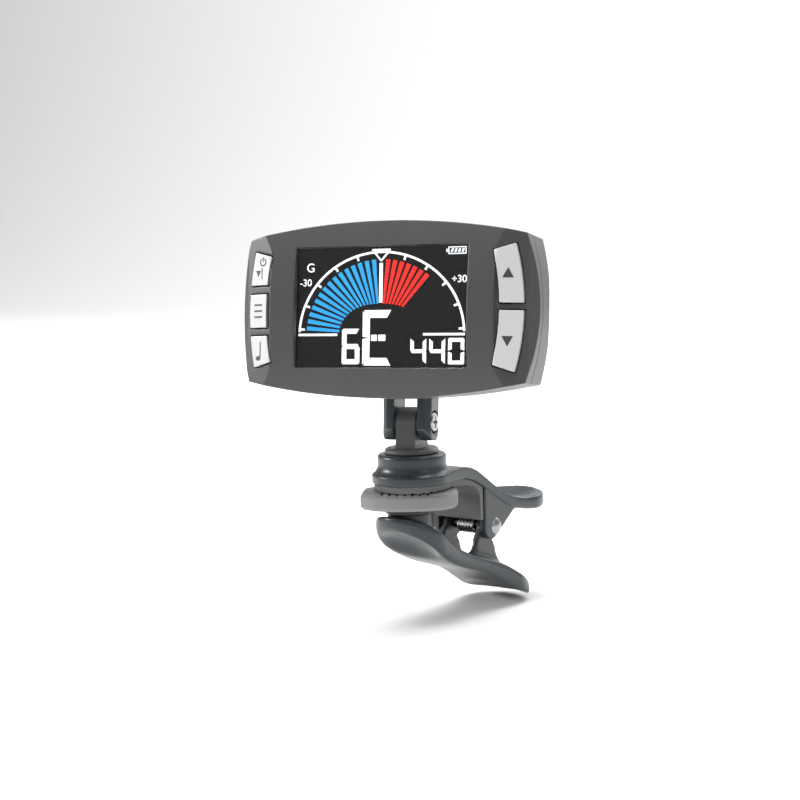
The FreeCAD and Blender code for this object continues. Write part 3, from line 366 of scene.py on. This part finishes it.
def machined(node, name, material, body, slot, width):
    """The CAD shape with a small bevel on its sharp edges."""
    obj = bpy.data.objects.new(name + "_source", welded_copy(node))
    bpy.context.collection.objects.link(obj)
    flat = obj.modifiers.new("flat", "DECIMATE")
    flat.decimate_type = "DISSOLVE"
    flat.angle_limit = math.radians(0.5)
    bevel = obj.modifiers.new("bevel", "BEVEL")
    bevel.width = width * MM
    bevel.segments = 3
    bevel.limit_method = "ANGLE"
    bevel.angle_limit = math.radians(35)
    mesh = evaluated(obj)
    bpy.data.objects.remove(obj)
    mesh.shade_smooth()
    mesh.set_sharp_from_angle(angle=math.radians(40))
    return add(name, mesh, material, body, node, slot=slot)


def paint(node, material):
    obj = frame["nodes"][node]
    if not obj.material_slots:
        obj.data.materials.append(material)
    for entry in obj.material_slots:
        entry.link = "OBJECT"
        entry.material = material


def head_box(node):
    """A node's box along the head's own axes, in millimetres."""
    back = HEAD.inverted()
    points = [back @ v.co / MM for v in frame["nodes"][node].data.vertices]
    low = Vector([min(p[k] for p in points) for k in range(3)])
    high = Vector([max(p[k] for p in points) for k in range(3)])
    return low, high


# ---------------------------------------------------------------- flat marks
def plates(outlines, front, back):
    """A mesh of flat plates, each outline a ring of (x, z), standing between two depths of the head."""
    bm = bmesh.new()
    for ring in outlines:
        faces = []
        for y in (front, back):
            faces.append([bm.verts.new((x, y, z)) for x, z in ring])
        count = len(ring)
        bm.faces.new(faces[0])
        bm.faces.new(list(reversed(faces[1])))
        for i in range(count):
            j = (i + 1) % count
            bm.faces.new((faces[0][j], faces[0][i], faces[1][i], faces[1][j]))
    bmesh.ops.recalc_face_normals(bm, faces=bm.faces)
    bm.transform(HEAD @ Matrix.Scale(MM, 4))
    mesh = bpy.data.meshes.new("plates")
    bm.to_mesh(mesh)
    bm.free()
    return mesh


def bar(x0, x1, z0, z1):
    return [(x0, z0), (x1, z0), (x1, z1), (x0, z1)]


def stroke(a, b, width):
    """A straight bar between two points."""
    dx, dz = b[0] - a[0], b[1] - a[1]
    size = math.hypot(dx, dz)
    ox, oz = -dz / size * width / 2, dx / size * width / 2
    return [(a[0] + ox, a[1] + oz), (a[0] - ox, a[1] - oz), (b[0] - ox, b[1] - oz), (b[0] + ox, b[1] + oz)]


def ring_pieces(centre, radius, width, start, end, steps):
    """Plates that make an arc of a ring, angles in degrees from +x."""
    pieces = []
    for i in range(steps):
        a = math.radians(start + (end - start) * i / steps)
        b = math.radians(start + (end - start) * (i + 1) / steps)
        inner = radius - width / 2
        outer = radius + width / 2
        corners = ((inner, a), (outer, a), (outer, b), (inner, b))
        pieces.append([(centre[0] + r * math.cos(t), centre[1] + r * math.sin(t)) for r, t in corners])
    return pieces


# the scale of the display
SCALE_X, SCALE_Z = -0.2, 19.65
SCALE_RX, SCALE_RZ = 20.4, 19.0
TICK_STEP = 17.2
BAR_OUT = 0.9
BAR_IN = 0.37
BAR_IN_SIDE = 0.50
BAR_WIDE = 3.3
BLUE_BARS, BLUE_STEP = 15, 5.66
RED_BARS, RED_STEP = 7, 5.4
LINE = 0.55
SCALE_END = 88.0         # the rim's ends, from upright
RIM_STEPS = 72
TICKS = 5                # each side of upright
TICK_OUT, TICK_IN = 0.985, 0.925
TICK_WIDE = 0.5
BASE_LEFT = (-20.4, -10.6)
BASE_RIGHT = (10.4, 20.3)

# the pointer over the scale
POINTER_HALF = 2.2
POINTER_TOP, POINTER_TIP = 38.9, 36.4
POINTER_LINE = 0.4
NEEDLE_HALF = 0.42
NEEDLE_LOW, NEEDLE_HIGH = 26.9, 35.9


def dial(share, lean):
    """A point of the scale, from its share of the radius and its angle right of upright, in degrees."""
    turn = math.radians(lean)
    return SCALE_X + share * SCALE_RX * math.sin(turn), SCALE_Z + share * SCALE_RZ * math.cos(turn)


def dial_bar(lean):
    side = math.sin(math.radians(lean)) ** 2
    inner = BAR_IN + (BAR_IN_SIDE - BAR_IN) * side
    half = BAR_WIDE / 2
    return [
        dial(inner, lean - half),
        dial(inner, lean + half),
        dial(BAR_OUT, lean + half),
        dial(BAR_OUT, lean - half),
    ]


def dial_scale():
    rim = LINE / SCALE_RX
    step = 2 * SCALE_END / RIM_STEPS
    marks = []
    for i in range(RIM_STEPS):
        a = -SCALE_END + step * i
        b = a + step
        marks.append([dial(1 - rim, a), dial(1 - rim, b), dial(1, b), dial(1, a)])
    for k in range(-TICKS, TICKS + 1):
        if k:
            marks.append(stroke(dial(TICK_OUT, k * TICK_STEP), dial(TICK_IN, k * TICK_STEP), TICK_WIDE))
    for near, far in (BASE_LEFT, BASE_RIGHT):
        marks.append(bar(SCALE_X + near, SCALE_X + far, SCALE_Z - LINE / 2, SCALE_Z + LINE / 2))
    return marks


def dial_pointer():
    """The outlined triangle at the top, point down, and the white bar under it."""
    left = (SCALE_X - POINTER_HALF, POINTER_TOP)
    right = (SCALE_X + POINTER_HALF, POINTER_TOP)
    tip = (SCALE_X, POINTER_TIP)
    marks = [stroke(a, b, POINTER_LINE) for a, b in ((left, right), (right, tip), (tip, left))]
    marks.append(bar(SCALE_X - NEEDLE_HALF, SCALE_X + NEEDLE_HALF, NEEDLE_LOW, NEEDLE_HIGH))
    return marks


# which of the seven segments each figure lights: top, upper right, lower right, bottom, lower left, upper
# left, middle
FIGURES = {"0": "1111110", "4": "0110011", "6": "1011111"}
SEGMENT_GAP = 0.15       # between two segments, as a share of their width
BLOCK_GAP = 0.35         # between the two blocks of the E


def figure(shape, x0, x1, z0, z1, wide):
    """A seven-segment figure as up to seven mitred plates. The E has two blocks for its middle arm."""
    gap = wide * SEGMENT_GAP
    zm = (z0 + z1) / 2
    half = wide / 2

    def across(z, up, down):
        return [
            (x0 + gap, z + up),
            (x1 - gap, z + up),
            (x1 - wide * 0.75, z - down),
            (x0 + wide * 0.75, z - down),
        ]

    def upright(x, inward, low, high, cut_low, cut_high):
        return [(x, low + gap), (x + inward, low + cut_low), (x + inward, high - cut_high), (x, high - gap)]

    middle = [
        (x0 + gap, zm),
        (x0 + half, zm + half),
        (x1 - half, zm + half),
        (x1 - gap, zm),
        (x1 - half, zm - half),
        (x0 + half, zm - half),
    ]
    if shape == "E":
        first = x0 + wide * 1.2
        second = first + wide
        low = zm - wide * 0.4
        high = zm + wide * 0.4
        return [
            bar(first, second - BLOCK_GAP, low, high),
            bar(second, second + wide, low, high),
            across(z1, 0.0, wide),
            across(z0, 0.0, -wide),
            upright(x0, wide, z0, zm, wide, 0.0),
            upright(x0, wide, zm, z1, 0.0, wide),
        ]
    parts = [
        across(z1, 0.0, wide),
        upright(x1, -wide, zm, z1, half, wide),
        upright(x1, -wide, z0, zm, wide, half),
        across(z0, 0.0, -wide),
        upright(x0, wide, z0, zm, wide, half),
        upright(x0, wide, zm, z1, half, wide),
        middle,
    ]
    return [part for part, lit in zip(parts, FIGURES[shape]) if lit == "1"]


def battery_mark():
    x0, x1, z0, z1 = 15.9, 20.2, 37.5, 39.2
    line = 0.25
    marks = [
        bar(x0, x1, z0, z0 + line),
        bar(x0, x1, z1 - line, z1),
        bar(x0, x0 + line, z0 + line, z1 - line),
        bar(x1 - line, x1, z0 + line, z1 - line),
        bar(x0 - 0.5, x0, z0 + 0.5, z1 - 0.5),
    ]
    for i in range(4):
        x = x0 + 0.55 + i * 0.85
        marks.append([(x, z0 + 0.45), (x + 0.5, z0 + 0.45), (x + 0.8, z1 - 0.45), (x + 0.3, z1 - 0.45)])
    return marks


LABEL_T = 0.03
LABEL_FATTEN = 0.02


def label(name, words, x, z, size, depth):
    """Plain printed figures on the display."""
    data = bpy.data.curves.new(name, "FONT")
    data.body = words
    data.size = size * MM
    data.align_x = "CENTER"
    data.align_y = "CENTER"
    data.extrude = LABEL_T / 2 * MM
    data.offset = LABEL_FATTEN * MM
    obj = bpy.data.objects.new(name + "_text", data)
    bpy.context.collection.objects.link(obj)
    mesh = evaluated(obj)
    bpy.data.objects.remove(obj)
    stand = Matrix.Rotation(math.pi / 2, 4, "X")
    mesh.transform(HEAD @ Matrix.Translation(Vector((x, depth, z)) * MM) @ stand)
    add(name, mesh, LIT_WHITE, "head")


FILM_T = 0.12            # dark film behind the lens
LIT_T = 0.03             # the lit marks stand this far in front of the film
LIT_GAP = 0.002
LENS_GAP = 0.08          # between the lens and the film
LENS_INSET = 0.05        # all round the lens
LENS_EDGE = 0.12

# each figure of the display: its shape, left and right, bottom and top, and the width of its segments
FIGURE_PLACES = (
    ("6", -9.6, -5.2, 12.9, 21.0, 1.15),
    ("E", -4.5, 2.7, 12.6, 25.2, 1.75),
    ("4", 7.2, 11.0, 12.9, 18.8, 0.85),
    ("4", 11.7, 15.5, 12.9, 18.8, 0.85),
    ("0", 16.2, 20.0, 12.9, 18.8, 0.85),
)


def display():
    low, high = head_box("display_window")
    film_front = high.y - FILM_T
    pane = bar(low.x + LENS_INSET, high.x - LENS_INSET, low.z + LENS_INSET, high.z - LENS_INSET)
    lens_mesh = plates([pane], low.y, film_front - LENS_GAP)
    lens = add("display_lens", lens_mesh, clear_lens(), "head", "display_window", slot="window")
    rounding = lens.modifiers.new("edge", "BEVEL")
    rounding.width = LENS_EDGE * MM
    rounding.segments = 3
    film = plates([bar(low.x, high.x, low.z, high.z)], film_front, high.y)
    add("display_film", film, FILM, "head", slot="lcd")

    def lit(name, outlines, material):
        mesh = plates(outlines, film_front - LIT_T, film_front - LIT_GAP)
        add(name, mesh, material, "head", slot="lcd")

    lit("dial_scale", dial_scale(), LIT_WHITE)
    lit("dial_pointer", dial_pointer(), LIT_WHITE)
    lit("dial_blue_bars", [dial_bar(-(i + 1) * BLUE_STEP) for i in range(BLUE_BARS)], LIT_BLUE)
    lit("dial_red_bars", [dial_bar((i + 1) * RED_STEP) for i in range(RED_BARS)], LIT_RED)
    lit("battery_mark", battery_mark(), LIT_WHITE)
    figures = []
    for place in FIGURE_PLACES:
        figures += figure(*place)
    lit("display_figures", figures, LIT_WHITE)
    label("label_note", "G", -17.7, 35.0, 2.9, film_front - LIT_T)
    label("label_low", "-30", -18.9, 31.6, 2.3, film_front - LIT_T)
    label("label_high", "+30", 18.6, 31.9, 2.3, film_front - LIT_T)


# ---------------------------------------------------------------- buttons
KEY_MARK_LIFT = 0.02


def laid_on(obj, outlines, name, body):
    """Thin printed marks laid on the front of a button, by following its surface."""
    surface = BVHTree.FromObject(obj, bpy.context.evaluated_depsgraph_get())
    mesh = plates(outlines, -30.0, -29.97)
    forward = (HEAD.to_3x3() @ Vector((0, 1, 0))).normalized()
    for vertex in mesh.vertices:
        hit = surface.ray_cast(vertex.co, forward)[0]
        depth = (HEAD.inverted() @ vertex.co).y / MM + 30.0
        if hit is not None:
            vertex.co = hit + forward * ((depth - KEY_MARK_LIFT - 0.01) * MM)
    add(name, mesh, PRINT, body)


def triangle(x, z, wide, tall):
    return [(x - wide / 2, z), (x + wide / 2, z), (x, z + tall)]


def power_mark(x, z):
    ring = ring_pieces((x + 0.55, z + 1.5), 0.85, 0.34, 120, 420, 16)
    return ring + [
        stroke((x + 0.55, z + 1.6), (x + 0.55, z + 2.7), 0.34),
        stroke((x + 0.25, z - 2.5), (x + 0.25, z + 0.2), 0.3),
        triangle(x - 0.85, z - 0.4, 1.6, -1.6),
    ]


def menu_mark(x, z):
    return [stroke((x - 1.2, z + dz), (x + 1.2, z + dz), 0.42) for dz in (-1.4, 0.0, 1.4)]


def note_mark(x, z):
    head = [
        (x - 0.55 + 0.75 * math.cos(t), z - 1.6 + 0.55 * math.sin(t))
        for t in [math.tau * i / 14 for i in range(14)]
    ]
    return [head, bar(x - 0.1, x + 0.22, z - 1.6, z + 2.3)]


def buttons():
    marks = {
        "power_button": power_mark,
        "menu_button": menu_mark,
        "tone_button": note_mark,
        "up_button": lambda x, z: [triangle(x, z - 1.0, 2.4, 2.3)],
        "down_button": lambda x, z: [triangle(x, z + 1.0, 2.4, -2.3)],
    }
    for node, mark in marks.items():
        body = node + "_key"
        cap = moulded(node, node + "_cap", KEY_WHITE, body, "key_plastic", 0.14, 5, keep=0.6, shrink=0.1)
        low, high = head_box(node)
        laid_on(cap, mark((low.x + high.x) / 2, (low.z + high.z) / 2), node + "_mark", body)


# ---------------------------------------------------------------- spring
WIRE_R = 0.45
COIL_R = 2.0
COIL_PITCH = 1.0
COIL_TURNS = 5                       # whole turns, besides the part turn between the legs
STEPS_PER_TURN = 32
LOWER_LEAN = math.radians(-47.0)     # of each leg, from the clip's axis
UPPER_LEAN = math.radians(7.0)
LOWER_LEG = (0.0, 6.0, 13.0)         # points along each leg, from the end of the coil
UPPER_LEG = (3.0, 7.5)


def along(start, lean, reach):
    return start[0] + reach * math.cos(lean), start[1], start[2] + reach * math.sin(lean)


def wire(name, points, body):
    """A round wire through points about the pin."""
    data = bpy.data.curves.new(name, "CURVE")
    data.dimensions = "3D"
    data.bevel_depth = WIRE_R * MM
    data.bevel_resolution = 5
    data.use_fill_caps = True
    run = data.splines.new("POLY")
    run.points.add(len(points) - 1)
    for point, place in zip(run.points, points):
        point.co = (*(Vector(place) * MM), 1.0)
    source = bpy.data.objects.new(name + "_wire", data)
    bpy.context.collection.objects.link(source)
    mesh = evaluated(source)
    bpy.data.objects.remove(source)
    mesh.transform(CLIP_AT_PIN)
    mesh.shade_smooth()
    return add(name, mesh, SPRING_STEEL, body, slot="steel")


def spring():
    """The coil with its upper leg rides on the upper jaw, and the lower leg on the lower jaw."""
    turns = COIL_TURNS + (UPPER_LEAN - LOWER_LEAN + math.pi) / math.tau
    start = LOWER_LEAN - math.pi / 2
    length = COIL_PITCH * turns
    count = int(turns * STEPS_PER_TURN)
    coil = []
    for i in range(count + 1):
        turn = start + math.tau * turns * i / count
        coil.append((COIL_R * math.cos(turn), length * i / count - length / 2, COIL_R * math.sin(turn)))
    upper_leg = [along(coil[-1], UPPER_LEAN, reach) for reach in UPPER_LEG]
    lower_leg = [along(coil[0], LOWER_LEAN, reach) for reach in LOWER_LEG]
    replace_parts(wire("spring_coil", coil + upper_leg, "upper_jaw"), "torsion_spring")
    wire("spring_lower_leg", lower_leg, "lower_jaw")


# ---------------------------------------------------------------- the object
def clip():
    moulded(
        "upper_arm", "upper_arm_body", CLIP_GREY, "upper_jaw", "arm_plastic", 0.25, 4,
        soft=upper_handle, soft_passes=120,
    )
    moulded(
        "lower_arm", "lower_arm_body", CLIP_GREY, "lower_jaw", "arm_plastic", 0.25, 4,
        soft=lower_handle, soft_passes=150,
    )
    moulded("upper_pad", "upper_pad_rubber", LINER, "upper_jaw", "pad_rubber", 0.14, 3, keep=0.4)
    machined("lower_pad", "lower_pad_rubber", RUBBER, "turning_pad", "pad_rubber", 0.12)
    machined("hinge_pin", "hinge_rivet", STEEL, "upper_jaw", "steel", 0.1)
    # painted shade: the hub under the pad is coloured near black, darker than the arms, to stand for the
    # shadow under the pad
    paint("pad_hub", DARK)
    spring()


def swivel():
    moulded("swivel_post", "swivel_post_body", POST_GREY, "swivel", "post_plastic", 0.14, 5)
    moulded(
        "tilt_yoke", "tilt_yoke_body", CLIP_GREY, "head", "arm_plastic", 0.16, 6,
        soft=yoke_foot, soft_passes=40,
    )
    machined("tilt_screw", "tilt_screw_steel", STEEL, "head", "steel", 0.08)
    machined("tilt_nut", "tilt_nut_steel", STEEL, "head", "steel", 0.08)
    paint("swivel_washer", STEEL)
    paint("swivel_screw", STEEL)
    paint("friction_washers", DARK)
    paint("yoke_screws", STEEL)


def head():
    moulded("front_bezel", "front_bezel_shell", HOUSING, "head", "housing_plastic", 0.16, 1, keep=0.35)
    moulded("rear_cover", "rear_cover_shell", HOUSING, "head", "housing_plastic", 0.2, 4, keep=0.35)
    inner = {
        "lcd_panel": PANEL,
        "backlight_unit": WHITE_PLASTIC,
        "circuit_board": BOARD,
        "board_chips": DARK,
        "tact_switches": DARK,
        "lithium_cell": FOIL,
        "battery_leads": LEAD,
        "usb_socket": STEEL,
        "piezo_sensor": BRASS,
        "case_screws": STEEL,
    }
    for node, material in inner.items():
        paint(node, material)
    display()
    buttons()


camera()
studio()
floor()
clip()
swivel()
head()
